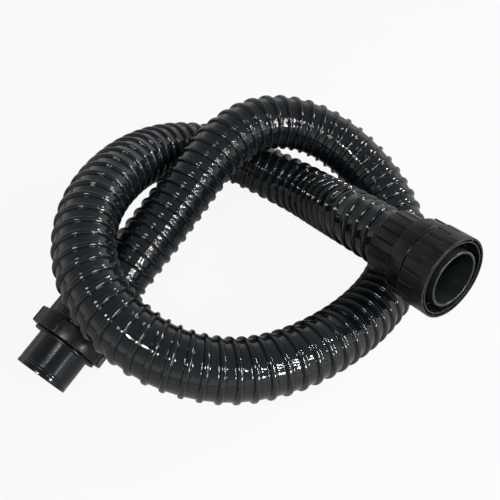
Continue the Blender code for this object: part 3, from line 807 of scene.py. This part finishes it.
def build_sleeve(matrix):
    outer = SLEEVE_D / 2
    shell = outer - SLEEVE_WALL
    slot_in = shell - SLEEVE_SLOT
    recess = slot_in - SLEEVE_INNER_WALL
    low = recess - SLEEVE_STEP
    bore = INNER_TUBE_D / 2 + GAP
    floor = SLEEVE_START + SLEEVE_FLOOR
    step = SLEEVE_RIM - SLEEVE_STEP_DEPTH
    slot = SLEEVE_RIM - SLOT_DEPTH
    inner_rim = SLEEVE_RIM - SLEEVE_INNER_SET_BACK
    start = SLEEVE_START + SLEEVE_START_BACK
    profile = [
        (bore, start),
        (outer, start, 0.5),
        *[(outer, start + along, 0.0, share) for along, share in FLUTE_COURSE],
        (outer, SLEEVE_RIM, 0.6),
        (shell, SLEEVE_RIM, 0.25),
        (shell, slot, 0.0, 0.0, 1.0),
        (slot_in, slot, 0.0, 0.0, 1.0),
        (slot_in, inner_rim, 0.3),
        (recess, inner_rim, 0.3),
        (recess, step),
        (low, step),
        (low, floor),
        (bore, floor),
    ]
    name = "coupling_sleeve_fine"
    mesh = fine_ring(name, profile, matrix, flute_pattern, slot_webs, sides=SLEEVE_SIDES)
    add_piece(name, mesh, LOOKS["sleeve"], "coupling_shell", ["coupling_sleeve"])


NODE_LOOKS = {
    "coupling_hose_seal": "seal",
    "coupling_o_ring": "seal",
    "coupling_gasket": "seal",
    "spigot_hose_seal": "seal",
    "spigot_o_ring": "seal",
    "coupling_slip_ring": "slip",
    "spigot_slip_ring": "slip",
    "coupling_snap_ring": "steel",
}


# ---------------------------------------------------------------- studio
def seen_share(nodes, links, straight, mirrored):
    """straight for rays from the camera, mirrored for rays that a glossy or clear surface sends on,
    0 for rays that light the object."""
    path = nodes.new("ShaderNodeLightPath")
    total = None
    for kind, share in (
        ("Is Camera Ray", straight),
        ("Is Glossy Ray", mirrored),
        ("Is Transmission Ray", mirrored),
    ):
        part = nodes.new("ShaderNodeMath")
        part.operation = "MULTIPLY_ADD"
        part.use_clamp = True
        links.new(path.outputs[kind], part.inputs[0])
        part.inputs[1].default_value = share
        if total is None:
            part.inputs[2].default_value = 0.0
        else:
            links.new(total, part.inputs[2])
        total = part.outputs["Value"]
    return total


def build_floor():
    far = FLOOR_HALF
    corners = [(-far, -far, 0), (far, -far, 0), (far, far, 0), (-far, far, 0)]
    mesh = bpy.data.meshes.new("studio_floor")
    mesh.from_pydata(corners, [], [(0, 1, 2, 3)])
    made, nodes, links, shader = new_material("studio_floor_white")
    shader.inputs["Base Color"].default_value = (*FLOOR_COLOUR, 1.0)
    shader.inputs["Roughness"].default_value = 0.9
    # Part of what the camera sees is plain white; the rest keeps the object's shadow.
    white = nodes.new("ShaderNodeEmission")
    white.inputs["Strength"].default_value = 1.0
    mix = nodes.new("ShaderNodeMixShader")
    links.new(seen_share(nodes, links, FLOOR_WHITE, FLOOR_MIRRORED), mix.inputs["Fac"])
    links.new(shader.outputs["BSDF"], mix.inputs[1])
    links.new(white.outputs["Emission"], mix.inputs[2])
    links.new(mix.outputs["Shader"], nodes["Material Output"].inputs["Surface"])
    mesh.materials.append(made)
    floor = bpy.data.objects.new("studio_floor", mesh)
    bpy.context.scene.collection.objects.link(floor)
    floor.location.z = -FLOOR_DROP


def area_light(name, place, turn, size_x, size_y, radiance):
    data = bpy.data.lights.new(name, "AREA")
    data.shape = "RECTANGLE"
    data.size = size_x
    data.size_y = size_y
    data.energy = radiance * POWER_PER_AREA * size_x * size_y
    lamp = bpy.data.objects.new(name, data)
    bpy.context.scene.collection.objects.link(lamp)
    lamp.location = place
    lamp.rotation_euler = turn
    lamp.visible_camera = False


def window(name, azimuth, elevation, distance, columns, rows, pane, bar, radiance):
    """Panes in columns and rows, each a small lamp, facing the object."""
    toward = Vector(direction(azimuth, elevation))
    turn = toward.to_track_quat("Z", "Y")
    across = turn @ Vector((1, 0, 0))
    upward = turn @ Vector((0, 1, 0))
    for row in range(rows):
        for column in range(columns):
            x = (column - (columns - 1) / 2) * (pane[0] + bar[0])
            y = (row - (rows - 1) / 2) * (pane[1] + bar[1])
            place = toward * distance + across * x + upward * y
            label = name + "_" + str(row) + "_" + str(column)
            area_light(label, place, turn.to_euler(), pane[0], pane[1], radiance)


def build_world():
    """Even light for the object; looked at or mirrored, white round the horizon and dim above."""
    world = bpy.data.worlds.new("studio_world")
    bpy.context.scene.world = world
    world.use_nodes = True
    nodes = world.node_tree.nodes
    links = world.node_tree.links
    even = nodes["Background"]
    even.inputs["Color"].default_value = (1.0, 1.0, 1.0, 1.0)
    even.inputs["Strength"].default_value = WORLD_LIGHT
    height = nodes.new("ShaderNodeSeparateXYZ")
    links.new(nodes.new("ShaderNodeTexCoord").outputs["Generated"], height.inputs["Vector"])
    seen = nodes.new("ShaderNodeBackground")
    links.new(ramp(nodes, links, height.outputs["Z"], SKY), seen.inputs["Color"])
    seen.inputs["Strength"].default_value = 1.0
    mix = nodes.new("ShaderNodeMixShader")
    links.new(seen_share(nodes, links, 1.0, 1.0), mix.inputs["Fac"])
    links.new(even.outputs["Background"], mix.inputs[1])
    links.new(seen.outputs["Background"], mix.inputs[2])
    links.new(mix.outputs["Shader"], nodes["World Output"].inputs["Surface"])


def build_camera():
    data = bpy.data.cameras.new("studio_camera")
    data.lens = CAMERA_LENS
    data.sensor_width = CAMERA_SENSOR
    data.clip_start = CAMERA_CLIP
    camera = bpy.data.objects.new("studio_camera", data)
    bpy.context.scene.collection.objects.link(camera)
    camera.location = CAMERA_PLACE
    camera.rotation_euler = (CAMERA_AIM - CAMERA_PLACE).to_track_quat("-Z", "Y").to_euler()
    bpy.context.scene.camera = camera


# ---------------------------------------------------------------- the scene
build_hose()
coupling = fitting_matrix(COUPLING_END, COUPLING_AZIMUTH, COUPLING_ELEVATION)
spigot = fitting_matrix(SPIGOT_END, SPIGOT_AZIMUTH, SPIGOT_ELEVATION)
build_cuff("coupling", coupling)
build_collar("coupling", coupling, INNER_TUBE_D, COUPLING_LUG_TURN, "coupling_ring")
build_coupling_tube(coupling)
build_sleeve(coupling)
build_cuff("spigot", spigot)
build_collar("spigot", spigot, SPIGOT_D, SPIGOT_LUG_TURN, "spigot_ring")
build_spigot(spigot)
for node, look in NODE_LOOKS.items():
    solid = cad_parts[node]
    solid.data.materials.clear()
    solid.data.materials.append(LOOKS[look])
build_floor()
build_world()
build_camera()
for name, numbers in WINDOWS.items():
    window(name, *numbers)
bpy.context.scene.view_settings.view_transform = "Standard"

bpy.context.view_layer.update()
